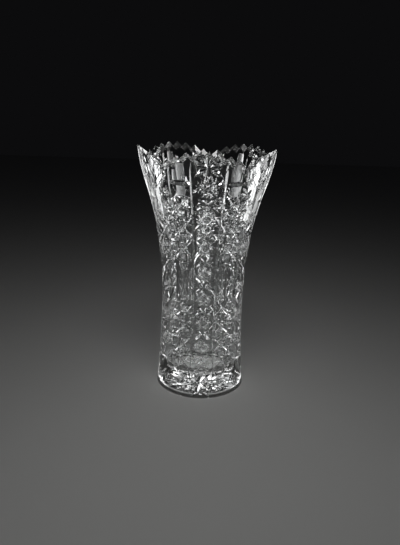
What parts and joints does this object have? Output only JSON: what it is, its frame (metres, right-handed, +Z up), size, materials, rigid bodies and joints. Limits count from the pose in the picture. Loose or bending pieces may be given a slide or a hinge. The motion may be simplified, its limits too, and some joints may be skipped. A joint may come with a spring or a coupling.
{
  "type": "cut crystal vase",
  "caption": "Waisted, flared vase of thick clear crystal with a scalloped saw-tooth rim, cut star columns, flutes and fans, for holding flowers.",
  "frame": {"origin": "middle of the foot's resting face, on the vase's axis", "axes": "+Z up along the vase's axis towards the mouth, -Y towards the front star column, +X to the right"},
  "size_m": [0.1653, 0.1647, 0.3045],
  "materials": {
    "lead_crystal": "polished, wheel-cut"
  },
  "bodies": {
    "root": {"vase_body": "lead_crystal"}
  },
  "joints": []
}
